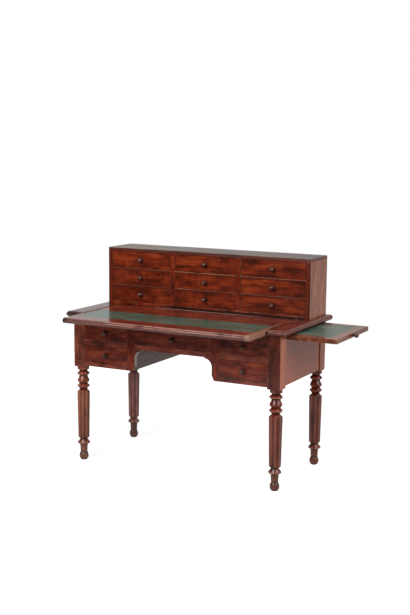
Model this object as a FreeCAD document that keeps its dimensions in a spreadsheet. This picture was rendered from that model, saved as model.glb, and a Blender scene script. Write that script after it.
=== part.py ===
import FreeCAD, Part
import math
import os
import Sketcher

# Captain's desk: an apron with five drawers on four turned and fluted legs, a writing slab that
# draws out from under a gallery of nine small drawers, and a leathered slide at each end.
# X runs to the right seen from the front, Y towards the back, Z up. The origin is on the floor,
# under the middle of the apron. The desk stands as photographed: slab and right slide drawn out.

lengths = {
    # Apron: the frame between and over the leg posts
    "apron_width": 1118,
    "apron_depth": 550,
    "writing_height": 760,
    "post_width": 64,
    "front_thickness": 24,
    "bottom_rail_height": 19.5,
    "lower_drawer_height": 89,
    "middle_rail_height": 25,
    "upper_drawer_height": 84,
    "top_rail_height": 24,
    "stile_width": 40,
    "stile_cut_width": 12,
    "stile_cut_height": 25,
    "kneehole_width": 420,
    "bracket_radius": 40,
    "bracket_step": 5,
    "side_panel_thickness": 20,
    "back_panel_thickness": 16,
    "panel_setback": 4,
    "partition_thickness": 18,
    "runner_thickness": 12,
    "runner_bearing": 12,
    "guide_thickness": 20,
    "guide_ledge_width": 8,
    "guide_ledge_thickness": 5,
    # Legs, turned below the square posts
    "leg_turned_height": 482,
    "foot_diameter": 46.4,
    "ankle_diameter": 34.4,
    "ring_diameter": 63,
    "neck_diameter": 36,
    "collar_diameter": 59,
    "shaft_bottom_diameter": 55.8,
    "shaft_top_diameter": 64,
    # Top: fixed end boards and back rail, with the writing slab running between them
    "top_thickness": 28,
    "top_overhang_side": 33,
    "top_overhang_front": 18,
    "top_overhang_back": 9,
    "top_end_width": 100,
    "top_back_rail_width": 27,
    "nosing_quirk": 1.8,
    "slab_gap": 2,
    "slab_side_gap": 1.5,
    "slab_drawn_out": 180,
    "tongue_width": 10,
    "tongue_height": 9,
    "tongue_setback": 212,
    "slab_leather_front_border": 100,
    "slab_leather_side_border": 20,
    "slab_leather_depth": 208,
    "leather_thickness": 1.2,
    "leather_recess": 1.5,
    # Slides at the ends of the apron
    "slide_thickness": 21,
    "slide_length": 530,
    "slide_border": 45,
    "slide_drawn_out": 243,
    "slide_side_gap": 2,
    # Gallery on the top
    "gallery_width": 1124,
    "gallery_depth": 213,
    "gallery_bottom_thickness": 15,
    "gallery_low_row": 82,
    "gallery_middle_row": 78,
    "gallery_high_row": 87,
    "gallery_shelf_thickness": 7,
    "gallery_top_thickness": 16,
    "gallery_side_thickness": 24,
    "gallery_divider_thickness": 28,
    "gallery_back_thickness": 8,
    "shelf_housing": 5,
    # Drawers of the apron and of the gallery
    "apron_drawer_back_room": 50,
    "apron_drawer_front": 20,
    "apron_drawer_side": 10,
    "apron_drawer_bottom": 6,
    "apron_drawer_drop": 7,
    "gallery_drawer_back_room": 6,
    "gallery_drawer_front": 14,
    "gallery_drawer_side": 7,
    "gallery_drawer_bottom": 4,
    "gallery_drawer_drop": 3,
    "drawer_lip": 6,
    "drawer_groove": 4,
    # Knobs
    "knob_length": 28,
    "knob_neck_length": 6,
    "knob_neck_diameter": 9,
    "knob_flange_diameter": 15,
    "knob_flange_thickness": 2.5,
    "spigot_diameter": 8,
    # Clearances, and how far a cut runs past the wood that it goes through
    "spigot_clearance": 0.1,
    "running_gap": 0.3,
    "drawer_gap": 0.5,
    "cut_overrun": 5,
}

# Places along the turned leg, as shares of its height below the post
leg_height_shares = {
    "foot_top": 0.080,
    "ankle_top": 0.160,
    "low_ring": 0.1835,
    "low_neck": 0.222,
    "shaft_bottom": 0.242,
    "shaft_top": 0.727,
    "high_neck": 0.757,
    "ring": 0.790,
    "bulb_low_neck": 0.8155,
    "bulb": 0.848,
    "bulb_high_neck": 0.895,
    "upper_ring": 0.921,
    "collar_neck": 0.952,
    "collar_bottom": 0.968,
}
foot_base_share = 0.62
ankle_swell_share = 1.12
rim_height_share = 0.0073
rim_radius_share = 0.93
bulb_radius_share = 0.95
bulb_rim_radius_share = 0.86
bulb_rim_height_share = 0.0145
bulb_neck_share = 1.13
flute_count = 8
flute_radius_share = 1.0
flute_depth_share = 0.135

# The quirk in the round nosing, in degrees above its middle
nosing_quirk_angles = (24, 30, 36)

doc = FreeCAD.newDocument("captains_desk")
sheet = doc.addObject("Spreadsheet::Sheet", "sizes")
for row, (alias, number) in enumerate(lengths.items(), 1):
    sheet.set(f"A{row}", alias.replace("_", " "))
    sheet.set(f"B{row}", str(number))
    sheet.setAlias(f"B{row}", alias)
doc.recompute()


class Length:
    """A length with the sheet formula that gives it."""

    def __init__(self, text, number):
        self.text = text
        self.number = number

    @staticmethod
    def of(other):
        return other if isinstance(other, Length) else Length(repr(other), other)

    def __add__(self, other):
        other = Length.of(other)
        return Length(f"({self.text} + {other.text})", self.number + other.number)

    def __sub__(self, other):
        other = Length.of(other)
        return Length(f"({self.text} - {other.text})", self.number - other.number)

    def __mul__(self, other):
        other = Length.of(other)
        return Length(f"({self.text} * {other.text})", self.number * other.number)

    def __truediv__(self, other):
        other = Length.of(other)
        return Length(f"({self.text} / {other.text})", self.number / other.number)

    def __rmul__(self, other):
        return Length.of(other) * self

    def __neg__(self):
        return Length(f"(0 - {self.text})", -self.number)


class Sizes:
    """The named lengths of the sheet."""

    def __getattr__(self, alias):
        return Length(f"sizes.{alias}", lengths[alias])


size = Sizes()
zero = Length("0", 0)

# Levels of the apron, from the fixed top down
top_z = size.writing_height
apron_top = top_z - size.top_thickness
top_rail_z = apron_top - size.top_rail_height
upper_row = (top_rail_z - size.upper_drawer_height, top_rail_z)
middle_rail = (upper_row[0] - size.middle_rail_height, upper_row[0])
lower_row = (middle_rail[0] - size.lower_drawer_height, middle_rail[0])
apron_bottom = lower_row[0] - size.bottom_rail_height
frame_top = top_rail_z - size.guide_ledge_thickness

# Plan of the apron
half_width = size.apron_width / 2
half_depth = size.apron_depth / 2
post_x = half_width - size.post_width
post_y = half_depth - size.post_width
front_y = -half_depth
frame_back_y = front_y + size.front_thickness
back_panel_y = (half_depth - size.panel_setback - size.back_panel_thickness, half_depth - size.panel_setback)
kneehole_x = size.kneehole_width / 2
drawer_x = kneehole_x + size.stile_width
partition_x = (kneehole_x + size.stile_cut_width, kneehole_x + size.stile_cut_width + size.partition_thickness)
side_panel_x = (half_width - size.panel_setback - size.side_panel_thickness, half_width - size.panel_setback)

# Plan of the top
top_half_width = half_width + size.top_overhang_side
top_end_inner = top_half_width - size.top_end_width
top_front_y = front_y - size.top_overhang_front
top_back_y = half_depth + size.top_overhang_back
back_rail_y = top_back_y - size.top_back_rail_width

# Gallery, set against the back of the top
gallery_half_width = size.gallery_width / 2
gallery_back_y = half_depth - size.top_overhang_back
gallery_front_y = gallery_back_y - size.gallery_depth
gallery_inner_x = gallery_half_width - size.gallery_side_thickness
gallery_panel_y = gallery_back_y - size.gallery_back_thickness
opening_width = (gallery_inner_x * 2 - size.gallery_divider_thickness * 2) / 3
low_row = (top_z + size.gallery_bottom_thickness, top_z + size.gallery_bottom_thickness + size.gallery_low_row)
low_shelf = (low_row[1], low_row[1] + size.gallery_shelf_thickness)
mid_row = (low_shelf[1], low_shelf[1] + size.gallery_middle_row)
high_shelf = (mid_row[1], mid_row[1] + size.gallery_shelf_thickness)
high_row = (high_shelf[1], high_shelf[1] + size.gallery_high_row)
gallery_top_z = (high_row[1], high_row[1] + size.gallery_top_thickness)

nodes = {}


def keep(label, thing):
    thing.Label = label
    nodes[label] = thing


def keep_group(label, things):
    group = doc.addObject("Part::Compound", label)
    group.Links = things
    keep(label, group)


def mirrored(side, span):
    """The span on the right (side 1) or its mirror image on the left (side -1)."""
    near, far = span
    return (near, far) if side > 0 else (-far, -near)


def place(thing, x, y, z):
    for axis, distance in zip("xyz", (x, y, z)):
        thing.setExpression(f".Placement.Base.{axis}", distance.text)


def board(name, x, y, z):
    """A plain board between low and high limits on each axis."""
    box = doc.addObject("Part::Box", name)
    for side, (low, high) in zip(("Length", "Width", "Height"), (x, y, z)):
        box.setExpression(side, (high - low).text)
    place(box, x[0], y[0], z[0])
    return box


def cut(base, tool):
    result = doc.addObject("Part::Cut", base.Name + "_cut")
    result.Base = base
    result.Tool = tool
    return result


def new_body(name):
    return doc.addObject("PartDesign::Body", name)


def sketch_on(body, role, offset=zero):
    """A sketch on one of the body's origin planes, moved along that plane's normal."""
    plane = next(feature for feature in body.Origin.OriginFeatures if feature.Role == role)
    sketch = body.newObject("Sketcher::SketchObject", body.Name + "_sketch")
    sketch.AttachmentSupport = (plane, [""])
    sketch.MapMode = "FlatFace"
    sketch.setExpression(".AttachmentOffset.Base.z", offset.text)
    return sketch


def arc_through(start, end, centre_u, bulge):
    """Arc about a centre at centre_u, at most half a turn; bulge gives the side of a half turn."""
    rise = (end[0] - centre_u) ** 2 - (start[0] - centre_u) ** 2 + end[1] ** 2 - start[1] ** 2
    centre = FreeCAD.Vector(centre_u, rise / (2 * (end[1] - start[1])), 0)
    first = FreeCAD.Vector(*start, 0)
    last = FreeCAD.Vector(*end, 0)
    towards = (first + last) / 2 - centre
    if towards.Length < (last - first).Length / 1000:
        towards = FreeCAD.Vector(bulge, 0, 0)
    towards.normalize()
    middle = centre + towards * (first - centre).Length
    return Part.Arc(first, middle, last)


def outline(sketch, corners):
    """A closed outline. A corner is (u, v), or (u, v, centre, bulge) where an arc leads to the next."""
    numbers = [(corner[0].number, corner[1].number) for corner in corners]
    ends = []
    for index, corner in enumerate(corners):
        start = numbers[index]
        end = numbers[(index + 1) % len(corners)]
        if len(corner) == 2:
            curve = Part.LineSegment(FreeCAD.Vector(*start, 0), FreeCAD.Vector(*end, 0))
        else:
            curve = arc_through(start, end, corner[2].number, corner[3])
        edge = sketch.addGeometry(curve, False)
        first = 1 if (sketch.getPoint(edge, 1) - FreeCAD.Vector(*start, 0)).Length < 1e-6 else 2
        ends.append((edge, first, 3 - first))
    rules = []
    formulas = []

    def hold(kind, edge, point, distance):
        formulas.append((len(rules), distance.text))
        rules.append(Sketcher.Constraint(kind, -1, 1, edge, point, distance.number))

    for index, corner in enumerate(corners):
        edge, first, last = ends[index]
        following, next_first, _ = ends[(index + 1) % len(corners)]
        rules.append(Sketcher.Constraint("Coincident", edge, last, following, next_first))
        for kind, axis, distance in (("DistanceX", -2, corner[0]), ("DistanceY", -1, corner[1])):
            if distance is zero:
                rules.append(Sketcher.Constraint("PointOnObject", edge, first, axis))
            else:
                hold(kind, edge, first, distance)
        if len(corner) == 4:
            if corner[2] is zero:
                rules.append(Sketcher.Constraint("PointOnObject", edge, 3, -2))
            else:
                hold("DistanceX", edge, 3, corner[2])
    sketch.addConstraint(rules)
    for index, formula in formulas:
        sketch.setExpression(f"Constraints[{index}]", formula)


def rectangle(sketch, u, v):
    outline(sketch, [(u[0], v[0]), (u[1], v[0]), (u[1], v[1]), (u[0], v[1])])


def circle(sketch, centre_u, centre_v, radius):
    round_edge = Part.Circle(
        FreeCAD.Vector(centre_u.number, centre_v.number, 0), FreeCAD.Vector(0, 0, 1), radius.number
    )
    edge = sketch.addGeometry(round_edge, False)
    for kind, axis, distance in (("DistanceX", -2, centre_u), ("DistanceY", -1, centre_v)):
        if distance is zero:
            sketch.addConstraint(Sketcher.Constraint("PointOnObject", edge, 3, axis))
        else:
            rule = sketch.addConstraint(Sketcher.Constraint(kind, -1, 1, edge, 3, distance.number))
            sketch.setExpression(f"Constraints[{rule}]", distance.text)
    rule = sketch.addConstraint(Sketcher.Constraint("Radius", edge, radius.number))
    sketch.setExpression(f"Constraints[{rule}]", radius.text)


def pad(body, sketch, length):
    feature = body.newObject("PartDesign::Pad", body.Name + "_pad")
    feature.Profile = sketch
    feature.setExpression("Length", length.text)
    return feature


def pocket(body, sketch, length, backwards=False):
    """A cut against the sketch's normal, or along it; it has to take wood away."""
    doc.recompute()
    before = body.Shape.Volume
    feature = body.newObject("PartDesign::Pocket", body.Name + "_pocket")
    feature.Profile = sketch
    feature.setExpression("Length", length.text)
    feature.Reversed = backwards
    doc.recompute()
    if body.Shape.Volume >= before:
        raise RuntimeError(f"{body.Name}: a pocket removes nothing")
    return feature


def revolve(body, sketch):
    feature = body.newObject("PartDesign::Revolution", body.Name + "_turning")
    feature.Profile = sketch
    feature.ReferenceAxis = (sketch, ["V_Axis"])
    feature.Angle = 360
    return feature


def moulded_edge(edge, inward, bottom, top, down=False):
    """Corners of a round nosing with a fine quirk, walked up or down; inward is the sign into the board."""
    radius = (top - bottom) / 2
    centre = edge + radius * inward
    points = [(centre, bottom)]
    for angle, reach in zip(nosing_quirk_angles, (radius, radius - size.nosing_quirk, radius)):
        across = math.cos(math.radians(angle)) * inward
        points.append((centre - reach * across, bottom + radius + reach * math.sin(math.radians(angle))))
    points.append((centre, top))
    if down:
        points.reverse()
    for corner in (0, 3):
        points[corner] += (centre, -inward)
    return points


def swell(low_radius, high_radius, apex_radius, low_z, high_z):
    """Distance from the leg's axis to the centre of a bead's arc, from its ends and its apex."""
    chord = high_z - low_z
    sagitta = apex_radius - (low_radius + high_radius) / 2
    return apex_radius - (chord * chord / 4 + sagitta * sagitta) / (sagitta * 2)


def leg(label, side_x, side_y):
    """A leg: square post over rings, bulb and a tapered shaft with hollow flutes, on a ball foot."""
    body = new_body(label)
    at = {name: size.leg_turned_height * share for name, share in leg_height_shares.items()}
    foot = size.foot_diameter / 2
    ankle = size.ankle_diameter / 2
    ring = size.ring_diameter / 2
    neck = size.neck_diameter / 2
    bulb_neck = neck * bulb_neck_share
    collar = size.collar_diameter / 2
    shaft_low = size.shaft_bottom_diameter / 2
    shaft_high = size.shaft_top_diameter / 2
    base = foot * foot_base_share

    def bead(middle, radius_share=1.0, rim_share=rim_radius_share, height_share=rim_height_share):
        low = middle - size.leg_turned_height * height_share
        high = middle + size.leg_turned_height * height_share
        rim = ring * rim_share
        return [(rim, low, swell(rim, rim, ring * radius_share, low, high), 1), (rim, high)]

    turning = sketch_on(body, "XZ_Plane")
    outline(turning, [
        (zero, zero),
        (base, zero, swell(base, ankle, foot, zero, at["foot_top"]), 1),
        (ankle, at["foot_top"]),
        (ankle * ankle_swell_share, at["ankle_top"]),
        *bead(at["low_ring"]),
        (neck, at["low_neck"]),
        (shaft_low, at["shaft_bottom"]),
        (shaft_high, at["shaft_top"]),
        (neck, at["high_neck"]),
        *bead(at["ring"]),
        (bulb_neck, at["bulb_low_neck"]),
        *bead(at["bulb"], bulb_radius_share, bulb_rim_radius_share, bulb_rim_height_share),
        (bulb_neck, at["bulb_high_neck"]),
        *bead(at["upper_ring"]),
        (neck, at["collar_neck"]),
        (collar, at["collar_bottom"]),
        (collar, size.leg_turned_height),
        (zero, size.leg_turned_height),
    ])
    revolve(body, turning)
    post = sketch_on(body, "XY_Plane", size.leg_turned_height)
    half_post = size.post_width / 2
    rectangle(post, (-half_post, half_post), (-half_post, half_post))
    pad(body, post, apron_top - size.leg_turned_height)
    doc.recompute()
    plain_volume = body.Shape.Volume
    hollows = []
    for radius, height in ((shaft_low, at["low_neck"]), (shaft_high, at["high_neck"])):
        hollow = sketch_on(body, "XY_Plane", height)
        cutter = radius * flute_radius_share
        circle(hollow, radius + cutter - radius * flute_depth_share, zero, cutter)
        hollows.append(hollow)
    flute = body.newObject("PartDesign::SubtractiveLoft", label + "_flute")
    flute.Profile = hollows[0]
    flute.Sections = hollows[1:]
    flutes = body.newObject("PartDesign::PolarPattern", label + "_flutes")
    flutes.Originals = [flute]
    flutes.Axis = (next(axis for axis in body.Origin.OriginFeatures if axis.Role == "Z_Axis"), [""])
    flutes.Angle = 360
    flutes.Occurrences = flute_count
    body.Tip = flutes
    doc.recompute()
    if body.Shape.Volume >= plain_volume:
        raise RuntimeError(f"{label}: the flutes remove nothing")
    axis_x = half_width - half_post
    axis_y = half_depth - half_post
    place(body, axis_x * side_x, axis_y * side_y, zero)
    keep(label, body)


def knob(label, x, y, z, turn_axis, angle, spigot_length):
    """A turned knob with its spigot; it points along its own Z before it is turned into place."""
    body = new_body(label)
    turning = sketch_on(body, "XZ_Plane")
    spigot = size.spigot_diameter / 2
    flange = size.knob_flange_diameter / 2
    neck = size.knob_neck_diameter / 2
    outline(turning, [
        (zero, -spigot_length),
        (spigot, -spigot_length),
        (spigot, zero),
        (flange, zero),
        (flange, size.knob_flange_thickness, flange, -1),
        (neck, size.knob_neck_length, zero, 1),
        (zero, size.knob_length),
    ])
    revolve(body, turning)
    body.Placement = FreeCAD.Placement(FreeCAD.Vector(), FreeCAD.Rotation(turn_axis, angle))
    place(body, x, y, z)
    keep(label, body)


def drawer(label, x, z, face_y, carcase_back_y, kind):
    """A drawer of five boards: a front over two grooved sides, a back, and a bottom in the grooves."""
    front_thickness = getattr(size, kind + "_drawer_front")
    side_thickness = getattr(size, kind + "_drawer_side")
    bottom_thickness = getattr(size, kind + "_drawer_bottom")
    left = x[0] + size.drawer_gap
    right = x[1] - size.drawer_gap
    low = z[0] + size.running_gap
    high = z[1] - size.drawer_gap
    side_top = high - getattr(size, kind + "_drawer_drop")
    front_back_y = face_y + front_thickness
    end_y = carcase_back_y - getattr(size, kind + "_drawer_back_room")
    bottom_z = (low + size.drawer_lip, low + size.drawer_lip + bottom_thickness)
    bottom_x = (left + side_thickness - size.drawer_groove, right - side_thickness + size.drawer_groove)
    bottom_y = (front_back_y - size.drawer_groove, end_y)
    front = board(label + "_front", (left, right), (face_y, front_back_y), (low, high))
    hole = doc.addObject("Part::Cylinder", label + "_hole")
    hole.Placement = FreeCAD.Placement(
        FreeCAD.Vector(), FreeCAD.Rotation(FreeCAD.Vector(1, 0, 0), -90)
    )
    hole.setExpression("Radius", (size.spigot_diameter / 2 + size.spigot_clearance).text)
    hole.setExpression("Height", (front_thickness + size.cut_overrun * 2).text)
    middle_x = (left + right) / 2
    middle_z = (low + high) / 2
    place(hole, middle_x, face_y - size.cut_overrun, middle_z)
    groove_y = (bottom_y[0], end_y + size.cut_overrun)
    pieces = [cut(cut(front, hole), board(label + "_front_groove", bottom_x, groove_y, bottom_z))]
    for name, side_x in (("left", (left, left + side_thickness)), ("right", (right - side_thickness, right))):
        side = board(f"{label}_{name}", side_x, (front_back_y, end_y), (low, side_top))
        pieces.append(cut(side, board(f"{label}_{name}_groove", bottom_x, groove_y, bottom_z)))
    between = (left + side_thickness, right - side_thickness)
    pieces.append(board(label + "_back", between, (end_y - side_thickness, end_y), (bottom_z[1], side_top)))
    pieces.append(board(label + "_bottom", bottom_x, bottom_y, bottom_z))
    keep_group(label, pieces)
    knob(label + "_knob", middle_x, face_y, middle_z, FreeCAD.Vector(1, 0, 0), 90, front_thickness)


def front_piece(name, corners):
    """A piece of the front frame, sawn from stock of the frame's thickness."""
    body = new_body(name)
    face = sketch_on(body, "XZ_Plane", -frame_back_y)
    outline(face, corners)
    pad(body, face, size.front_thickness)
    return body


def apron():
    for name_y, side_y in (("front", -1), ("back", 1)):
        for name_x, side_x in (("left", -1), ("right", 1)):
            leg(f"leg_{name_y}_{name_x}", side_x, side_y)
    front = (front_y, frame_back_y)
    inside = (frame_back_y, back_panel_y[0])
    for name, side in (("left", -1), ("right", 1)):
        panel_x = mirrored(side, side_panel_x)
        panel = board("side_panel_" + name, panel_x, (-post_y, post_y), (apron_bottom, top_rail_z))
        keep("side_panel_" + name, panel)
    keep("back_panel", board("back_panel", (-post_x, post_x), back_panel_y, (apron_bottom, apron_top)))
    keep("front_top_rail", board("front_top_rail", (-post_x, post_x), front, (top_rail_z, apron_top)))

    rails = [board("kneehole_rail", (-kneehole_x, kneehole_x), front, middle_rail)]
    stiles, brackets, partitions, runners = [], [], [], []
    for name, side in (("left", -1), ("right", 1)):
        stiles.append(front_piece("stile_" + name, [
            ((kneehole_x + size.stile_cut_width) * side, apron_bottom),
            (drawer_x * side, apron_bottom),
            (drawer_x * side, top_rail_z),
            (kneehole_x * side, top_rail_z),
            (kneehole_x * side, apron_bottom + size.stile_cut_height),
        ]))
        tip_x = (kneehole_x - size.bracket_radius) * side
        step_z = middle_rail[0] - size.bracket_step
        brackets.append(front_piece("bracket_" + name, [
            (kneehole_x * side, step_z - size.bracket_radius, tip_x, side),
            (tip_x, step_z),
            (tip_x, middle_rail[0]),
            (kneehole_x * side, middle_rail[0]),
        ]))
        rail_x = mirrored(side, (drawer_x, post_x))
        rails.append(board("drawer_rail_" + name, rail_x, front, middle_rail))
        rails.append(board("bottom_rail_" + name, rail_x, front, (apron_bottom, lower_row[0])))
        partition = board("partition_" + name, mirrored(side, partition_x), inside, (apron_bottom, frame_top))
        partitions.append(partition)
        outer_x = mirrored(side, (post_x - size.runner_bearing, side_panel_x[0]))
        inner_x = mirrored(side, (partition_x[1], drawer_x + size.runner_bearing))
        middle_x = mirrored(side, (kneehole_x - size.runner_bearing, partition_x[0]))
        for row_name, row in (("upper", upper_row), ("lower", lower_row)):
            level = (row[0] - size.runner_thickness, row[0])
            title = f"runner_{row_name}_{name}"
            runners.append(board(title + "_outer", outer_x, (-post_y, post_y), level))
            runners.append(board(title + "_inner", inner_x, inside, level))
        middle_level = (upper_row[0] - size.runner_thickness, upper_row[0])
        runners.append(board("runner_middle_" + name, middle_x, inside, middle_level))
    keep_group("front_stiles", stiles)
    keep_group("front_rails", rails)
    keep_group("kneehole_brackets", brackets)
    keep_group("kneehole_panels", partitions)
    keep_group("drawer_runners", runners)

    guides = []
    guide_y = post_y - size.slide_side_gap + size.running_gap
    for name, side in (("front", -1), ("back", 1)):
        body = new_body("guide_" + name)
        section = sketch_on(body, "YZ_Plane", -post_x)
        ledge_y = (guide_y - size.guide_ledge_width) * side
        outer_y = (guide_y + size.guide_thickness) * side
        outline(section, [
            (ledge_y, frame_top),
            (outer_y, frame_top),
            (outer_y, apron_top - size.running_gap),
            (guide_y * side, apron_top - size.running_gap),
            (guide_y * side, top_rail_z),
            (ledge_y, top_rail_z),
        ])
        pad(body, section, post_x * 2)
        guides.append(body)
    keep_group("slide_guides", guides)


def top():
    groove_low = apron_top + (size.top_thickness - size.tongue_height) / 2
    for name, side in (("left", -1), ("right", 1)):
        body = new_body("top_end_" + name)
        span = mirrored(side, (top_end_inner, top_half_width))
        section = sketch_on(body, "YZ_Plane", span[0])
        front_edge = moulded_edge(top_front_y, 1, apron_top, top_z)
        back_edge = moulded_edge(top_back_y, -1, apron_top, top_z, down=True)
        outline(section, front_edge + back_edge)
        pad(body, section, size.top_end_width)
        waste = sketch_on(body, "XZ_Plane", -top_back_y - size.cut_overrun)
        edge_x = top_half_width * side
        profile = moulded_edge(edge_x, -side, apron_top, top_z)
        outside_x = (top_half_width + size.cut_overrun) * side
        outline(waste, profile + [
            (profile[-1][0], top_z + size.cut_overrun),
            (outside_x, top_z + size.cut_overrun),
            (outside_x, apron_top - size.cut_overrun),
            (profile[0][0], apron_top - size.cut_overrun),
        ])
        pocket(body, waste, top_back_y - top_front_y + size.cut_overrun * 2, backwards=True)
        groove = sketch_on(body, "XZ_Plane", -top_front_y + size.cut_overrun)
        groove_x = mirrored(side, (top_end_inner - size.cut_overrun, top_end_inner + size.tongue_width))
        rectangle(groove, groove_x, (groove_low, groove_low + size.tongue_height))
        pocket(body, groove, back_rail_y - top_front_y + size.cut_overrun)
        keep("top_end_" + name, body)

    rail = new_body("top_back_rail")
    section = sketch_on(rail, "YZ_Plane", -top_end_inner)
    back_edge = moulded_edge(top_back_y, -1, apron_top, top_z)
    outline(section, back_edge + [(back_rail_y, top_z), (back_rail_y, apron_top)])
    pad(rail, section, top_end_inner * 2)
    keep("top_back_rail", rail)

    # The slab slides with a tongue at each end in the grooves of the end boards
    slab = new_body("writing_slab")
    slab_half = top_end_inner - size.slab_side_gap
    slab_front = top_front_y - size.slab_drawn_out
    slab_back = back_rail_y - size.running_gap - size.slab_drawn_out
    slab_z = (apron_top + size.running_gap, top_z - size.slab_gap)
    section = sketch_on(slab, "YZ_Plane", -slab_half)
    front_edge = moulded_edge(slab_front, 1, slab_z[0], slab_z[1])
    outline(section, front_edge + [(slab_back, slab_z[1]), (slab_back, slab_z[0])])
    pad(slab, section, slab_half * 2)
    tongue_half = slab_half + size.tongue_width
    tongue = sketch_on(slab, "XY_Plane", groove_low + size.running_gap)
    rectangle(tongue, (-tongue_half, tongue_half), (slab_front + size.tongue_setback, slab_back))
    pad(slab, tongue, size.tongue_height - size.running_gap * 2)
    leather_half = slab_half - size.slab_leather_side_border
    leather_front = slab_front + size.slab_leather_front_border
    leather_y = (leather_front, leather_front + size.slab_leather_depth)
    recess = sketch_on(slab, "XY_Plane", slab_z[1])
    rectangle(recess, (-leather_half, leather_half), leather_y)
    pocket(slab, recess, size.leather_recess)
    keep("writing_slab", slab)
    leather_z = (slab_z[1] - size.leather_recess, slab_z[1] - size.leather_recess + size.leather_thickness)
    keep("writing_leather", board("writing_leather", (-leather_half, leather_half), leather_y, leather_z))


def slides():
    half_slide = post_y - size.slide_side_gap
    slide_z = (top_rail_z + size.running_gap, top_rail_z + size.running_gap + size.slide_thickness)
    for name, side, drawn_out in (("left", -1, zero), ("right", 1, size.slide_drawn_out)):
        outer = half_width + drawn_out
        span = mirrored(side, (outer - size.slide_length, outer))
        body = new_body("side_slide_" + name)
        plan = sketch_on(body, "XY_Plane", slide_z[0])
        rectangle(plan, span, (-half_slide, half_slide))
        pad(body, plan, size.slide_thickness)
        leather_x = (span[0] + size.slide_border, span[1] - size.slide_border)
        leather_y = (size.slide_border - half_slide, half_slide - size.slide_border)
        recess = sketch_on(body, "XY_Plane", slide_z[1])
        rectangle(recess, leather_x, leather_y)
        pocket(body, recess, size.leather_recess)
        middle_z = (slide_z[0] + slide_z[1]) / 2
        hole = sketch_on(body, "YZ_Plane", outer * side)
        circle(hole, zero, middle_z, size.spigot_diameter / 2 + size.spigot_clearance)
        spigot = size.slide_border / 2
        pocket(body, hole, spigot + size.spigot_clearance, backwards=side < 0)
        keep("side_slide_" + name, body)
        low = slide_z[1] - size.leather_recess
        leather = board("slide_leather_" + name, leather_x, leather_y, (low, low + size.leather_thickness))
        keep("slide_leather_" + name, leather)
        knob("slide_knob_" + name, outer * side, zero, middle_z, FreeCAD.Vector(0, 1, 0), 90 * side, spigot)


def housed(wood, faces):
    """Cuts shelf housings into an upright; faces are its sides, each with the sign of the way out."""
    depth = (gallery_front_y - size.cut_overrun, gallery_panel_y)
    for face, outward in faces:
        for shelf in (low_shelf, high_shelf):
            span = mirrored(outward, (size.shelf_housing * -1, size.cut_overrun))
            groove_x = (face + span[0], face + span[1])
            wood = cut(wood, board(wood.Name + "_housing", groove_x, depth, shelf))
    return wood


def gallery():
    depth = (gallery_front_y, gallery_panel_y)
    inner = (-gallery_inner_x, gallery_inner_x)
    divider_x = (opening_width / 2, opening_width / 2 + size.gallery_divider_thickness)
    upright = (low_row[0], gallery_top_z[0])
    whole_depth = (gallery_front_y, gallery_back_y)
    dividers = []
    for name, side in (("left", -1), ("right", 1)):
        side_x = mirrored(side, (gallery_inner_x, gallery_half_width))
        side_board = board("gallery_side_" + name, side_x, whole_depth, (top_z, gallery_top_z[0]))
        keep("gallery_side_" + name, housed(side_board, [(gallery_inner_x * side, -side)]))
        divider = board("divider_" + name, mirrored(side, divider_x), depth, upright)
        dividers.append(housed(divider, [(divider_x[0] * side, -side), (divider_x[1] * side, side)]))
    keep_group("gallery_dividers", dividers)
    keep("gallery_bottom", board("gallery_bottom", inner, depth, (top_z, low_row[0])))
    keep("gallery_back", board("gallery_back", inner, (gallery_panel_y, gallery_back_y), (top_z, gallery_top_z[0])))
    cover_x = (-gallery_half_width, gallery_half_width)
    keep("gallery_top", board("gallery_top", cover_x, whole_depth, gallery_top_z))

    pitch = opening_width + size.gallery_divider_thickness
    shelves = []
    for column, place_number in (("left", -1), ("middle", 0), ("right", 1)):
        centre = pitch * place_number
        opening = (centre - opening_width / 2, centre + opening_width / 2)
        shelf_x = (opening[0] - size.shelf_housing, opening[1] + size.shelf_housing)
        for row_name, shelf in (("low", low_shelf), ("high", high_shelf)):
            shelves.append(board(f"shelf_{row_name}_{column}", shelf_x, depth, shelf))
        for row_name, row in (("low", low_row), ("mid", mid_row), ("high", high_row)):
            label = f"gallery_drawer_{row_name}_{column}"
            drawer(label, opening, row, gallery_front_y, gallery_panel_y, "gallery")
    keep_group("gallery_shelves", shelves)


def apron_drawers():
    for name, side in (("left", -1), ("right", 1)):
        opening = mirrored(side, (drawer_x, post_x))
        drawer("drawer_upper_" + name, opening, upper_row, front_y, back_panel_y[0], "apron")
        drawer("drawer_lower_" + name, opening, lower_row, front_y, back_panel_y[0], "apron")
    drawer("drawer_middle", (-kneehole_x, kneehole_x), upper_row, front_y, back_panel_y[0], "apron")


apron()
top()
slides()
gallery()
apron_drawers()
doc.recompute()

for thing in doc.Objects:
    if "Invalid" in thing.State or "Error" in thing.State:
        raise RuntimeError(f"{thing.Label}: {thing.State}")
for label, thing in nodes.items():
    if thing.Shape.isNull() or not thing.Shape.isValid():
        raise RuntimeError(f"{label}: no valid shape")

os.makedirs("parts", exist_ok=True)
for label, thing in nodes.items():
    thing.Shape.exportStep(f"parts/{label}.step")
print(len(nodes), "nodes,", sum(len(thing.Shape.Solids) for thing in nodes.values()), "solids")
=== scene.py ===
import math

import bpy
import numpy as np
from mathutils import Matrix, Vector


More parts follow.
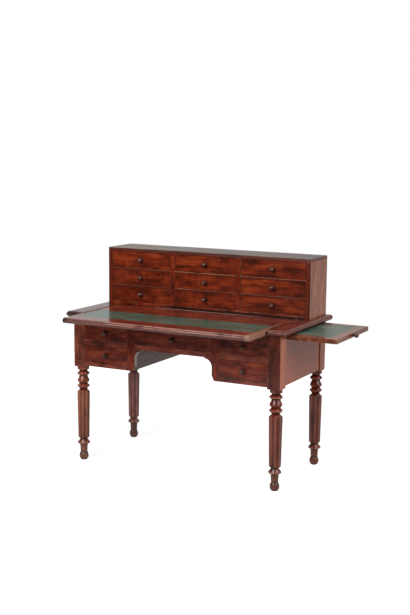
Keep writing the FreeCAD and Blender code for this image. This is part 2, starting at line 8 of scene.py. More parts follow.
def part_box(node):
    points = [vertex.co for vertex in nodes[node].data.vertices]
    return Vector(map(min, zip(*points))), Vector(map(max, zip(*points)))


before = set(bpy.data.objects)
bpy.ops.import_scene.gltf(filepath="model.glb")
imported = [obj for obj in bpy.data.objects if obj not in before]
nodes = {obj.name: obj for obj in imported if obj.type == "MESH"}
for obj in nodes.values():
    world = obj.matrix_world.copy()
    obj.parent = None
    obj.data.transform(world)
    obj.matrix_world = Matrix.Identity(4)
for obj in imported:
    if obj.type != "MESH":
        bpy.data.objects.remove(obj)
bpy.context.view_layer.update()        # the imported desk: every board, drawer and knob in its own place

scene = bpy.context.scene
scene.view_settings.view_transform = "Standard"
print("desk loaded:", len(nodes), "pieces")


class Shade:
    # a socket that joins in sums: each operator adds one Math node
    def __init__(self, finish, socket):
        self.finish, self.socket = finish, socket

    def sum(self, operation, first, second=0.0):
        return self.finish.node("ShaderNodeMath", {"operation": operation}, {0: first, 1: second})

    def __add__(self, other):
        return self.sum("ADD", self, other)

    def __sub__(self, other):
        return self.sum("SUBTRACT", self, other)

    def __rsub__(self, other):
        return self.sum("SUBTRACT", other, self)

    def __mul__(self, other):
        return self.sum("MULTIPLY", self, other)

    def __truediv__(self, other):
        return self.sum("DIVIDE", self, other)

    def __rtruediv__(self, other):
        return self.sum("DIVIDE", other, self)

    __radd__, __rmul__ = __add__, __mul__

    def __neg__(self):
        return self * -1.0

    def __abs__(self):
        return self.sum("ABSOLUTE", self)

    def cosine(self):
        return self.sum("COSINE", self)

    def root(self):
        return self.sum("SQRT", self)

    def angle(self, along):  # the turn of a point this far across and that far along
        return self.sum("ARCTAN2", along, self)

    def least(self, other):
        return self.sum("MINIMUM", self, other)

    def most(self, other):
        return self.sum("MAXIMUM", self, other)

    def rise(self, start, end):  # a soft step from 0 at start to 1 at end
        return self.finish.node("ShaderNodeMapRange", {"interpolation_type": "SMOOTHSTEP"},
                                {"Value": self, "From Min": start, "From Max": end})

    def band(self, up, down):  # 1 between a soft step up and a soft step down
        return self.rise(*up) * (1 - self.rise(*down))


class Finish:
    # a node tree: node() takes a node's type, its settings and what goes into its sockets
    def __init__(self, owner):
        owner.use_nodes = True
        self.owner, self.tree = owner, owner.node_tree
        self.tree.nodes.clear()

    def node(self, kind, settings=None, sockets=None, out=0):
        made = self.tree.nodes.new(kind)
        for key, value in (settings or {}).items():
            if key == "stops":
                self.ramp(made.color_ramp, value)
            else:
                setattr(made, key, value)
        for key, value in (sockets or {}).items():
            if isinstance(value, Shade):
                self.tree.links.new(value.socket, made.inputs[key])
            else:
                made.inputs[key].default_value = value
        return Shade(self, made.outputs[out]) if len(made.outputs) else made

    def ramp(self, ramp, stops):
        while len(ramp.elements) < len(stops):
            ramp.elements.new(0.5)
        for element, (place, colour) in zip(ramp.elements, stops):
            element.position, element.color = place, (*colour, 1.0)

    def mix(self, factor, first, second):
        first, second = [c if isinstance(c, Shade) else (*c, 1.0) for c in (first, second)]
        return self.node("ShaderNodeMix", {"data_type": "RGBA"},
                         {0: factor, 6: first, 7: second}, out=2)

    def vector(self, operation, first, second):
        return self.node("ShaderNodeVectorMath", {"operation": operation}, {0: first, 1: second})

    def place(self):
        return self.node("ShaderNodeTexCoord", out=3)  # Object coordinates, metres

    def split(self, vector):
        parts = self.node("ShaderNodeSeparateXYZ", {}, {"Vector": vector}).socket.node.outputs
        return [Shade(self, part) for part in parts]

    def axes(self):
        return self.split(self.place())

    def rays(self):  # whether the eye sees this, and whether polish mirrors it
        kinds = self.node("ShaderNodeLightPath").socket.node.outputs
        eye, through, glossy = [Shade(self, kinds[f"Is {kind} Ray"])
                                for kind in ("Camera", "Transmission", "Glossy")]
        return eye.most(through), glossy

    def noise(self, where, cycles, detail=2.0, rough=0.5, out=0):  # cycles per metre on each axis
        return self.node("ShaderNodeTexNoise", {}, {
            "Vector": self.vector("MULTIPLY", where, cycles), "Scale": 1.0,
            "Detail": detail, "Roughness": rough}, out)

    def patches(self, where, cycles, step, detail=2.0, rough=0.5):  # noise cut into soft patches
        return self.noise(where, cycles, detail, rough).rise(*step)

    def bump(self, height, strength, distance):
        return self.node("ShaderNodeBump", {}, {
            "Strength": strength, "Distance": distance, "Height": height})

    def surface(self, sockets):
        skin = self.node("ShaderNodeBsdfPrincipled", {}, sockets)
        self.node("ShaderNodeOutputMaterial", {}, {"Surface": skin})
        return self.owner


def newFinish(name):
    return Finish(bpy.data.materials.new(name))


def insets(finish, corners, count=3):
    # how far a point lies inside a box, on each axis
    low, high = corners
    return [(high[i] - low[i]) / 2 - abs(p - (low[i] + high[i]) / 2)
            for i, p in enumerate(finish.axes()[:count])]


def edgeMask(finish, corners, width):
    # an edge is where the middle one of the three insets is small
    first, second, third = insets(finish, corners)
    middle = first.least(second).most(first.most(second).least(third))
    return 1 - middle.rise(0.0, width)


def outerFace(name):
    # how far a piece reaches from the desk's middle
    return max(abs(corner.x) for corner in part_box(name))


def palette(dark, red, bright):
    # late wood and old polish, the body, and where the figure turns to the light
    return {"dark": dark, "red": red, "bright": bright}


redWood = palette((0.044, 0.0060, 0.0018), (0.124, 0.0125, 0.0022), (0.228, 0.0300, 0.0048))
mahogany = {
    **redWood, "worn": (0.330, 0.130, 0.070), "dust": (0.012, 0.006, 0.004),
    "polish": 0.24, "shine": 0.5, "figure": 1.0,
    "sway": 0.034, "pore": 0.30, "ripple": 0.6,
    "edgeWidth": 0.005, "wear": 0.30, "grimeAndShade": 0.0,
}
grainTurn = {"x": (0, 0, 0), "y": (0, 0, -math.pi / 2), "z": (0, math.pi / 2, 0)}
grainFigure = {
    "logReach": 9, "noiseMean": 0.5, "alongSway": 0.05,
    "drift": {"cycles": (5.0, 10.0, 10.0), "out": 1},
    "cloud": {"cycles": (9.0, 30.0, 30.0), "detail": 3.0, "rough": 0.58},
    "broad": {"cycles": (3.0, 95.0, 95.0), "detail": 3.0, "rough": 0.6},
    "fine": {"cycles": (6.0, 340.0, 340.0), "rough": 0.6},
    "curl": {"cycles": (90.0, 14.0, 14.0)},
    "curly": {"cycles": (5.0, 9.0, 9.0), "detail": 1.0, "step": (0.44, 0.62)},
    "pores": {"cycles": (38.0, 1100.0, 1100.0), "detail": 1.0, "step": (0.60, 0.72)},
    "rubbed": {"cycles": (24.0, 24.0, 24.0), "detail": 3.0, "rough": 0.6, "step": (0.44, 0.62)},
    "wave": {"cycles": (7.0, 16.0, 16.0), "detail": 1.0},
    "cloudShare": 0.66, "broadShare": 0.34, "curlShare": 0.24, "stops": (0.37, 0.50, 0.64),
    "fineStep": (0.50, 0.72), "fineShare": 0.34,
    "roughened": {"fine": 0.10, "pores": 0.15, "cloud": 0.12, "rubbed": 0.12, "grimeAndShade": 0.18},
    "sunk": {"pores": 0.10, "fine": 0.05}, "bump": {"strength": 0.35, "distance": 0.001},
}


def grainSpace(finish, grain, seed):
    # Object coordinates with the grain along X, moved to a part of the log of the board's own
    draw, reach = np.random.default_rng(seed), grainFigure["logReach"]
    return finish.node("ShaderNodeMapping", {}, {
        "Vector": finish.place(), "Rotation": grainTurn[grain],
        "Location": tuple(float(v) for v in draw.uniform(-reach, reach, 3))})


def mahoganyFinish(name, plan):
    # wavy streaks along the grain, a cloudy flame and curls across it, worn edges and pores
    look, form, finish = {**mahogany, **plan}, grainFigure, newFinish(name)
    mean, roughened, sunk = form["noiseMean"], form["roughened"], form["sunk"]
    where = grainSpace(finish, look["grain"], look["seed"])
    drift = finish.vector("SUBTRACT", finish.noise(where, **form["drift"]), (mean, mean, mean))
    drift = finish.vector("MULTIPLY", drift, (form["alongSway"], look["sway"], look["sway"]))
    grain = finish.vector("ADD", where, drift)
    cloud = finish.noise(grain, **form["cloud"]) - mean
    broad = finish.noise(grain, **form["broad"]) - mean
    curl = finish.noise(grain, **form["curl"]) - mean
    fine = finish.noise(grain, **form["fine"])
    curly = finish.patches(where, **form["curly"])
    pores = finish.patches(grain, **form["pores"])
    figure = cloud * form["cloudShare"] + broad * form["broadShare"] + curl * curly * form["curlShare"]
    tones = [look[key] for key in ("dark", "red", "bright")]
    tone = finish.node("ShaderNodeValToRGB", {"stops": list(zip(form["stops"], tones))},
                       {"Fac": figure * look["figure"] + mean})
    tone = finish.mix(fine.rise(*form["fineStep"]) * form["fineShare"], tone, look["dark"])
    tone = finish.mix(pores * look["pore"], tone, look["dust"])
    rough = look["polish"] + (fine - mean) * roughened["fine"]
    rough = rough + pores * roughened["pores"] + cloud * roughened["cloud"]
    edge = edgeMask(finish, look["edges"], look["edgeWidth"])
    rubbed = edge * finish.patches(where, **form["rubbed"])
    # dirt and painted shade: on the drawer fronts the edges are darkened like the shade in the gaps
    # round them
    tone = finish.mix(edge * look["grimeAndShade"], tone, look["dust"])
    tone = finish.mix(rubbed * look["wear"], tone, look["worn"])
    rough = rough + rubbed * roughened["rubbed"] - edge * (look["grimeAndShade"] * roughened["grimeAndShade"])
    if "touch" in look:  # what the maker or the years add to this piece alone
        tone, rough = look["touch"](finish, where, tone, rough)
    wave = finish.noise(where, **form["wave"])
    height = wave * look["ripple"] - pores * sunk["pores"] - fine * sunk["fine"]
    return finish.surface({
        "Base Color": tone, "Roughness": rough, "Specular IOR Level": look["shine"],
        "Normal": finish.bump(height, **form["bump"])})


drawerWood = {
    "light": (0.36, 0.21, 0.105), "deep": (0.21, 0.105, 0.045), "rough": 0.55, "fineRough": 0.2,
    "lines": {"cycles": (2.0, 90.0, 90.0), "detail": 3.0, "rough": 0.6, "step": (0.38, 0.66)},
    "fine": {"cycles": (6.0, 420.0, 420.0)}, "bump": {"strength": 0.2, "distance": 0.0006},
}


def drawerLining(finish, where):
    lines = finish.patches(where, **drawerWood["lines"])
    return finish.mix(lines, drawerWood["light"], drawerWood["deep"])


def liningFinish(name, seed):
    # plain wood with the grain from front to back
    look, finish = drawerWood, newFinish(name)
    where = grainSpace(finish, "y", seed)
    fine = finish.noise(where, **look["fine"])
    return finish.surface({
        "Base Color": drawerLining(finish, where),
        "Roughness": look["rough"] + fine * look["fineRough"],
        "Normal": finish.bump(fine, **look["bump"])})


greenLeather = {
    "slab": {"rough": 0.15, "deep": (0.029, 0.072, 0.050), "worn": (0.074, 0.110, 0.084)},
    # the slides' is rubbed browner
    "slide": {"rough": 0.30, "deep": (0.024, 0.062, 0.043), "worn": (0.158, 0.145, 0.106)},
    "rim": (0.012, 0.026, 0.018), "rimWidth": 0.008, "rimShare": 0.75, "shine": 0.32,
    "rubbed": {"cycles": (7.0, 11.0, 11.0), "detail": 4.0, "rough": 0.65, "step": (0.38, 0.70)},
    "scuffs": {"cycles": (90.0, 60.0, 60.0), "detail": 3.0, "rough": 0.7, "step": (0.56, 0.74)},
    "rubbedShare": 0.7, "scuffShare": 0.25, "rubbedRough": 0.08,
    "pebbles": 700.0, "pebbleMean": 0.4, "pebbleRough": 0.10, "pebbleHeight": 0.7,
    "crease": {"cycles": (220.0, 220.0, 220.0)}, "creaseHeight": 0.3,
    "bump": {"strength": 0.10, "distance": 0.0004},
}


def leatherFinish(name, corners, own):
    # close pebbled grain, rubbed paler in patches, darker at the edge where polish has built up
    look, finish = greenLeather, newFinish(name)
    where = finish.place()
    inX, inY = insets(finish, corners, 2)
    rim = 1 - inX.least(inY).rise(0.0, look["rimWidth"])
    rubbed = finish.patches(where, **look["rubbed"])
    scuffs = finish.patches(where, **look["scuffs"])
    worn = rubbed * look["rubbedShare"] + scuffs * look["scuffShare"]
    tone = finish.mix(rim * look["rimShare"], finish.mix(worn, own["deep"], own["worn"]), look["rim"])
    pebble = finish.node("ShaderNodeTexVoronoi", {"feature": "F1"}, {
        "Vector": where, "Scale": look["pebbles"]})
    crease = finish.noise(where, **look["crease"])
    rough = own["rough"] + rubbed * look["rubbedRough"]
    rough = rough + (pebble - look["pebbleMean"]) * look["pebbleRough"]
    height = pebble * look["pebbleHeight"] + crease * look["creaseHeight"]
    return finish.surface({
        "Base Color": tone, "Roughness": rough, "Specular IOR Level": look["shine"],
        "Normal": finish.bump(height, **look["bump"])})


knobWood = {
    "dark": (0.024, 0.007, 0.004), "warm": (0.150, 0.046, 0.024),
    "rough": 0.07, "lineRough": 0.08, "shine": 0.50,
    "lines": {"cycles": (160.0, 60.0, 420.0), "detail": 3.0, "rough": 0.6},
    "lineStep": (0.40, 0.68), "lineShare": 0.5,
    "handled": {"cycles": (70.0, 70.0, 70.0), "step": (0.45, 0.70)}, "handledShare": 0.4,
    "bump": {"strength": 0.12, "distance": 0.0004},
}


def knobFinish(name):
    # near black, warmer along the grain and where it is handled
    look, finish = knobWood, newFinish(name)
    where = finish.place()
    lines = finish.noise(where, **look["lines"])
    handled = finish.patches(where, **look["handled"])
    warm = lines.rise(*look["lineStep"]) * look["lineShare"] + handled * look["handledShare"]
    return finish.surface({
        "Base Color": finish.mix(warm, look["dark"], look["warm"]),
        "Roughness": look["rough"] + lines * look["lineRough"], "Specular IOR Level": look["shine"],
        "Normal": finish.bump(lines, **look["bump"])})


def dress(name, material):
    nodes[name].data.materials.clear()
    nodes[name].data.materials.append(material)


turnedLeg = {
    "shine": 0.42, "ringPolish": 0.15,
    "postFoot": (0.474, 0.480), "shaft": ((0.110, 0.112), (0.356, 0.358)),
    # the hollows, the necks' grooves and the foot's seam are darkened by dirt and painted shade
    "flutes": 8, "hollow": (0.0, 1.0), "hollowGrimeAndShade": 0.68,
    "neck": (0.090, 0.096), "groove": (0.0190, 0.0255), "grooveGrimeAndShade": 0.6,
    "footSeam": ((0.029, 0.037), (0.040, 0.048)), "seamGrimeAndShade": 0.65,
    # flute ridges and ring rims are painted pale, wear and painted highlight both
    "ridge": (0.80, 1.0), "proud": (0.0296, 0.0312), "ridgeWearAndHighlight": 0.60,
    "patch": {"cycles": (9.0, 40.0, 40.0), "step": (0.32, 0.58)},
    "scuffTop": (0.082, 0.112), "scuffShare": 0.55, "leastScuffed": 0.6, "patchShare": 0.4,
    "scuffed": {"leg_front_left": (0.180, 0.096, 0.055), "leg_front_right": (0.084, 0.050, 0.032),
                "leg_back_left": (0.110, 0.060, 0.042), "leg_back_right": (0.100, 0.050, 0.031)},
    # painted light: the outer faces of the posts are given a lighter tone, as lit from the side
    "litFaceTone": (0.440, 0.112, 0.038), "postFace": (0.5584, 0.5588),
    "streak": {"cycles": (3.0, 90.0, 90.0), "step": (0.2, 0.6)},
    "leastLitFace": 0.45, "streakShare": 0.45,
}


def turnedTouch(name, frontShade=0.0, sunShare=1.0):
    # flute ridges and ring rims worn pale, partly a painted highlight; polish, dirt and painted shade in
    # the hollows and necks; painted shade on the posts' fronts and painted light on their outer faces
    low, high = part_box(name)
    axisX, axisY = (low.x + high.x) / 2, (low.y + high.y) / 2
    outward = math.copysign(1, axisX)

    def touch(finish, where, tone, rough):
        look = turnedLeg
        x, y, z = finish.axes()
        across, along = x - axisX, y - axisY
        ridge = -(across.angle(along) * look["flutes"]).cosine()
        radius = (across * across + along * along).root()
        post, shaft = z.rise(*look["postFoot"]), z.band(*look["shaft"])
        turned = (1 - shaft) * (1 - post)
        groove = turned * z.rise(*look["neck"]) * (1 - radius.rise(*look["groove"]))
        # dirt and painted shade: flute hollows, neck grooves, the post's front and the foot's seam
        grimeAndShade = shaft * (-ridge).rise(*look["hollow"]) * look["hollowGrimeAndShade"]
        grimeAndShade = grimeAndShade + groove * look["grooveGrimeAndShade"] + post * frontShade
        grimeAndShade = grimeAndShade + z.band(*look["footSeam"]) * look["seamGrimeAndShade"]
        patch = finish.patches(where, **look["patch"])
        # pale flute ridges and ring rims: wear and painted highlight
        worn = shaft * ridge.rise(*look["ridge"]) + turned * radius.rise(*look["proud"])
        scuff = (1 - z.rise(*look["scuffTop"])) * (look["leastScuffed"] + patch * look["patchShare"])
        tone = finish.mix(scuff * look["scuffShare"], tone, look["scuffed"][name])
        tone = finish.mix(grimeAndShade, tone, mahogany["dust"])
        tone = finish.mix(worn * patch * look["ridgeWearAndHighlight"], tone, mahogany["worn"])
        streak = look["leastLitFace"] + finish.patches(where, **look["streak"]) * look["streakShare"]
        # painted light on the post's outer face
        outer = post * (x * outward).rise(*look["postFace"]) * streak * sunShare
        return finish.mix(outer, tone, look["litFaceTone"]), rough - turned * look["ringPolish"]
    return touch


nosing = {
    "radius": 0.0130, "middle": 0.7455, "fadeBack": 0.80,
    # the beads and the quirk, in radii above the middle
    "upper": ((0.58, 0.70), (0.86, 0.98)), "lower": ((-0.15, 0.15), (0.34, 0.42)),
    "sunk": ((0.36, 0.44), (0.56, 0.64)),
    # painted sheen on the nosing, brighter to the right; pale bead lines of wear and painted highlight;
    # dirt and painted shade in the quirk, painted shade at the ends
    "body": (0.102, 0.026, 0.019), "dull": (0.115, 0.046, 0.040), "bodyShare": 0.65,
    "paleLineAndHighlight": (0.350, 0.175, 0.135), "quirk": (0.022, 0.009, 0.007),
    "patch": {"cycles": (12.0, 30.0, 30.0), "detail": 3.0, "rough": 0.6, "step": (0.30, 0.56)},
    "upperShare": 0.8, "leastLit": 0.25, "litShare": 0.75, "darkShare": 0.8,
    "slab": {"dulled": 0.14, "lines": 0.80, "quirk": 0.8,
             "bright": (-0.36, -0.18), "dark": (0.455, 0.486)},
    "end": {"dulled": 0.15, "lines": 0.42, "quirk": 0.6,
            "bright": (-0.40, -0.10), "dark": (0.50, 0.54)},
    # on the end boards the painted shade of the left end stays near the front; the back end is darkened
    "frontCorner": (-0.27, -0.20), "backEnd": (0.262, 0.276),
}


def nosingTouch(name, kind):
    # the round edge is painted pale along its two beads, wear and painted highlight, over a painted
    # sheen that is brighter to the right;
    # the quirk between them is darkened by dirt and painted shade, and the left end by painted shade; on
    # the end boards it turns the corner
    frontY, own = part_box(name)[0].y, nosing[kind]

    def touch(finish, where, tone, rough):
        look = nosing
        x, y, z = finish.axes()
        inside, dark = y - frontY, (-x).rise(*own["dark"])
        if kind == "end":
            inside = inside.least(outerFace(name) - abs(x))
            dark = dark * (1 - y.rise(*look["frontCorner"]))
        edge = 1 - inside.rise(look["radius"] * look["fadeBack"], look["radius"])
        high = (z - look["middle"]) / look["radius"]
        lit = x.rise(*own["bright"])
        lines = high.band(*look["upper"]) * look["upperShare"] + high.band(*look["lower"])
        lines = lines * finish.patches(where, **look["patch"])
        lines = lines * (look["leastLit"] + lit * look["litShare"])
        # painted sheen, brighter to the right
        tone = finish.mix(edge * look["bodyShare"], tone, finish.mix(lit, look["dull"], look["body"]))
        # pale bead lines: wear and painted highlight
        tone = finish.mix(edge * lines * own["lines"], tone, look["paleLineAndHighlight"])
        # the quirk: dirt and painted shade
        tone = finish.mix(edge * high.band(*look["sunk"]) * own["quirk"], tone, look["quirk"])
        # painted shade at the left front end; the back end darkened
        dark = dark.most(y.rise(*look["backEnd"]))
        tone = finish.mix(edge * dark * look["darkShare"], tone, look["quirk"])
        return tone, rough + edge * own["dulled"]
    return touch


slabEnds = {
    "tan": (0.250, 0.150, 0.095), "border": (0.4700, 0.4712), "borderEnd": (-0.30, 0.02),
    "patch": {"cycles": (14.0, 26.0, 26.0), "detail": 3.0, "rough": 0.6, "step": (0.30, 0.60)},
    "leastTan": 0.35, "patchShare": 0.45,
    "paleStrip": (0.56, 0.36, 0.30), "paleStripDepth": ((0.026, 0.040), (0.040, 0.050)),
    "paleStripSpan": ((-0.36, -0.20), (0.16, 0.36)), "leastPaleStrip": 0.45, "streakyStripShare": 0.5,
    "streakyStrip": {"cycles": (9.0, 160.0, 160.0), "detail": 3.0, "rough": 0.6, "step": (0.36, 0.62)},
    "face": (0.4897, 0.4902), "dulled": 0.3,
    "pale": (0.300, 0.135, 0.085), "deep": (0.150, 0.062, 0.038),
    "speck": {"cycles": (400.0, 900.0, 900.0), "step": (0.4, 0.7)}, "speckShare": 0.5,
    "seam": ((0.7435, 0.7445), (0.7460, 0.7470)), "seamShare": 0.5,
    "foot": (0.734, 0.741), "footShare": 0.6,
}


def slabTouch(finish, where, tone, rough):
    # the slab's ends run in grooves: their bare end grain stays dull, the right border is rubbed tan;
    # the strip before the gallery is paler, in streaks
    look = slabEnds
    tone, rough = nosingTouch("writing_slab", "slab")(finish, where, tone, rough)
    x, y, z = finish.axes()
    border = x.rise(*look["border"]) * (1 - y.rise(*look["borderEnd"]))
    rubbed = look["leastTan"] + finish.patches(where, **look["patch"]) * look["patchShare"]
    tone = finish.mix(border * rubbed, tone, look["tan"])
    strip = y.band(*look["paleStripDepth"]) * x.band(*look["paleStripSpan"])
    streakyStrip = look["leastPaleStrip"] + finish.patches(where, **look["streakyStrip"]) * look["streakyStripShare"]
    tone = finish.mix(strip * streakyStrip, tone, look["paleStrip"])
    bare = abs(x).rise(*look["face"])
    speck = finish.patches(where, **look["speck"])
    deep = speck * look["speckShare"] + z.band(*look["seam"]) * look["seamShare"]
    deep = deep + (1 - z.rise(*look["foot"])) * look["footShare"]
    wood = finish.mix(deep.least(1.0), look["pale"], look["deep"])
    return finish.mix(bare, tone, wood), rough + bare * look["dulled"]


gallerySide = {
    "front": (0.0005, 0.0020), "arris": (-0.006, -0.003), "arrisShare": 0.75,
    "streak": {"cycles": (3.0, 90.0, 90.0), "detail": 3.0, "step": (0.3, 0.7)},
    "back": (-0.009, -0.004), "backShare": 0.8, "darkenedEdge": (0.030, 0.016, 0.012),
}


def sideTouch(name):
    # painted light: the side board is a lighter, lit copy of the wood; its front edge keeps the colour
    # of the drawers, its outer arris and its back edge are darkened
    frontY, backY = [corner.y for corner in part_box(name)]

    def touch(finish, where, tone, rough):
        look = gallerySide
        x, y, _ = finish.axes()
        front = 1 - (y - frontY).rise(*look["front"])
        arris = front * (abs(x) - outerFace(name)).rise(*look["arris"])
        streak = finish.patches(where, **look["streak"])
        tone = finish.mix((y - backY).rise(*look["back"]) * look["backShare"], tone, look["darkenedEdge"])
        tone = finish.mix(front, tone, finish.mix(streak, mahogany["dark"], mahogany["red"]))
        return finish.mix(arris * look["arrisShare"], tone, mahogany["dust"]), rough
    return touch


panelFade = {"reach": (-0.20, 0.12), "share": 0.30}


def panelTouch(finish, where, tone, rough):
    # the side panels are paler towards the sitter
    near = 1 - finish.axes()[1].rise(*panelFade["reach"])
    return finish.mix(near * panelFade["share"], tone, turnedLeg["litFaceTone"]), rough


dustAndSheenFilm = {
    "tone": (0.260, 0.235, 0.190), "share": 0.75, "dulled": 0.06, "edge": (1.0490, 1.0505),
    "wiped": {"cycles": (2.6, 14.0, 14.0), "detail": 4.0, "rough": 0.62}, "wipedShare": 0.6,
    "lines": {"cycles": (5.0, 70.0, 70.0), "detail": 3.0, "rough": 0.6}, "lineShare": 0.4,
    "streak": (0.38, 0.62), "leastDust": 0.15, "streakShare": 0.85,
    "fade": (-0.60, 0.60), "fadeShare": 0.85,
}


def dustAndSheenTouch(finish, where, tone, rough):
    # a film of dust on the gallery's top, partly a painted sheen of the backdrop, thinner to the right
    # and wiped in streaks
    look = dustAndSheenFilm
    x, _, z = finish.axes()
    top = z.rise(*look["edge"])
    wiped = finish.noise(where, **look["wiped"]) * look["wipedShare"]
    streak = (wiped + finish.noise(where, **look["lines"]) * look["lineShare"]).rise(*look["streak"])
    tone = finish.mix(1 - top, tone, finish.mix(streak, mahogany["dark"], mahogany["red"]))
    # dust and painted sheen, lighter to the left
    filmAndSheen = top * (look["leastDust"] + streak * look["streakShare"])
    filmAndSheen = filmAndSheen * (1 - x.rise(*look["fade"]) * look["fadeShare"]) * look["share"]
    return finish.mix(filmAndSheen, tone, look["tone"]), rough + filmAndSheen * look["dulled"]


shelfHighlight = {
    "upperShelf": (0.90, 0.91), "thickness": 0.007, "rubbed": (0.0028, 0.0038),
    "leftDivider": (-0.20, -0.18), "rightDivider": (0.18, 0.20),
    "left": 0.28, "middle": 1.0, "right": 0.50, "lowerShelf": 0.42,
    "patch": {"cycles": (5.0, 5.0, 5.0), "step": (0.36, 0.56)}, "leastPale": 0.55, "patchShare": 0.45,
    "dull": (0.098, 0.0145, 0.0050),
}


def shelfTouch(finish, where, tone, rough):
    # painted highlight: the shelves' upper front arris is painted pale, as catching the light, most in
    # the middle of the upper shelf
    look = shelfHighlight
    low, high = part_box("gallery_shelves")
    x, _, z = finish.axes()
    upper = z.rise(*look["upperShelf"])
    column = look["left"] + x.rise(*look["leftDivider"]) * (look["middle"] - look["left"])
    column = column + x.rise(*look["rightDivider"]) * (look["right"] - look["middle"])
    below = upper * (high.z - z) + (1 - upper) * (low.z + look["thickness"] - z)
    arris = 1 - below.rise(*look["rubbed"])
    patch = look["leastPale"] + finish.patches(where, **look["patch"]) * look["patchShare"]
    # painted highlight along the arris
    pale = arris * column * (upper + (1 - upper) * look["lowerShelf"]) * patch
    return finish.mix(1 - pale, tone, look["dull"]), rough


sawnEdgeHighlight = {"tone": (0.60, 0.45, 0.40), "share": 0.85,
            "depth": (0.0008, 0.0016), "stileReach": (0.2103, 0.2110)}


def sawnHighlightTouch(reach=None):
    # painted highlight: the sawn edges round the kneehole are painted pale where they catch the light
    look, frontY = sawnEdgeHighlight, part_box("kneehole_brackets")[0].y

    def touch(finish, where, tone, rough):
        x, y, _ = finish.axes()
        cut = (y - frontY).rise(*look["depth"])
        if reach:
            cut = cut * (1 - abs(x).rise(*reach))
        return finish.mix(cut * look["share"], tone, look["tone"]), rough
    return touch


slabGapShade = {"tone": (0.004, 0.003, 0.003), "share": 0.9,
           "height": (0.7675, 0.7705), "reach": (-0.40, -0.10), "depth": (0.002, 0.004)}


def gapShadeTouch(finish, where, tone, rough):
    # painted shade: the slab has bowed a little, and a dark band along the gallery bottom's front stands
    # for the shaded gap under its right half
    look, frontY = slabGapShade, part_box("gallery_bottom")[0].y
    x, y, z = finish.axes()
    gap = (1 - z.rise(*look["height"])) * x.rise(*look["reach"])
    gap = gap * (1 - (y - frontY).rise(*look["depth"]))
    return finish.mix(gap * look["share"], tone, look["tone"]), rough


# painted reflection: a grey copy of the wood for the kneehole panels, standing for their sheen
greySheenWood = palette((0.064, 0.040, 0.031), (0.150, 0.095, 0.074), (0.220, 0.140, 0.108))
dusky = palette((0.012, 0.006, 0.005), (0.040, 0.014, 0.009), (0.085, 0.030, 0.016))
railWood = palette((0.060, 0.0110, 0.0060), (0.165, 0.0300, 0.0150), (0.270, 0.0600, 0.0280))
crimson = palette((0.046, 0.0093, 0.0061), (0.127, 0.0196, 0.0112), (0.221, 0.0412, 0.0208))
# painted highlight: the shelves' pale tone, shown only along their front arris
paleEdge = palette((0.15, 0.050, 0.026), (0.27, 0.100, 0.052), (0.42, 0.185, 0.105))
slideWood = palette((0.068, 0.0155, 0.0060), (0.135, 0.0310, 0.0120), (0.215, 0.065, 0.0270))
# painted light: lighter copies of the wood for the side panels and the gallery's sides, as lit from the
# side
sideLitWood = palette((0.150, 0.022, 0.0066), (0.298, 0.051, 0.0160), (0.460, 0.100, 0.0320))
gallerySideLitWood = palette((0.122, 0.028, 0.0095), (0.238, 0.063, 0.0225), (0.370, 0.122, 0.0450))
shaded = palette((0.023, 0.0042, 0.0022), (0.078, 0.0115, 0.0045), (0.156, 0.029, 0.0097))
paleBack = palette((0.150, 0.0455, 0.0378), (0.316, 0.104, 0.0865), (0.418, 0.175, 0.142))
paleLeg = palette((0.075, 0.0165, 0.0086), (0.200, 0.0455, 0.0223), (0.330, 0.096, 0.047))
legWood = palette((0.047, 0.0077, 0.0033), (0.124, 0.0176, 0.0066), (0.222, 0.0405, 0.0148))
farLeg = palette((0.055, 0.0079, 0.0030), (0.147, 0.0182, 0.0060), (0.260, 0.0418, 0.0136))
apronWood = palette((0.050, 0.0088, 0.0050), (0.138, 0.0180, 0.0078), (0.245, 0.0410, 0.0130))


def board(grain, seed, wood=redWood, **own):
    return {"grain": grain, "seed": seed, **wood, **own}


def turnedBoard(name, seed, wood, **own):
    return {name: board("z", seed, wood, shine=turnedLeg["shine"], touch=turnedTouch(name, **own))}


boards = {
    "gallery_top": board("x", 11, dusky, polish=0.36, shine=0.66, touch=dustAndSheenTouch),
    "gallery_bottom": board("x", 12, touch=gapShadeTouch),
    "gallery_back": board("x", 13, polish=0.55, shine=0.3),
    "gallery_side_left": board("z", 14, gallerySideLitWood, figure=0.80, touch=sideTouch("gallery_side_left")),
    "gallery_side_right": board("z", 15, gallerySideLitWood, figure=0.80, touch=sideTouch("gallery_side_right")),
    "gallery_dividers": board("z", 16),
    "gallery_shelves": board("x", 17, paleEdge, touch=shelfTouch),
    "top_end_left": board("y", 21, shaded, polish=0.15, shine=0.62,
                          touch=nosingTouch("top_end_left", "end")),
    "top_end_right": board("y", 22, shaded, polish=0.15, shine=0.22,
                           touch=nosingTouch("top_end_right", "end")),
    "top_back_rail": board("x", 23, polish=0.15),
    "writing_slab": board("x", 24, crimson, polish=0.12, shine=0.66, ripple=0.3, touch=slabTouch),
    "side_slide_left": board("y", 25, slideWood),
    "side_slide_right": board("y", 26, slideWood),
    "side_panel_left": board("y", 31, sideLitWood, figure=0.38, touch=panelTouch),
    "side_panel_right": board("y", 32, sideLitWood, figure=0.38, touch=panelTouch),
    "back_panel": board("x", 33),
    "front_top_rail": board("x", 34, shaded),
    "front_rails": board("x", 35, railWood),
    "front_stiles": board("z", 36, touch=sawnHighlightTouch(sawnEdgeHighlight["stileReach"])),
    "kneehole_brackets": board("x", 37, touch=sawnHighlightTouch()),
    "kneehole_panels": board("y", 38, greySheenWood, figure=0.6),
    **turnedBoard("leg_front_left", 41, paleLeg, frontShade=0.26),
    **turnedBoard("leg_front_right", 42, legWood, frontShade=0.32),
    **turnedBoard("leg_back_left", 43, paleBack),
    **turnedBoard("leg_back_right", 44, farLeg, sunShare=0.38),
}
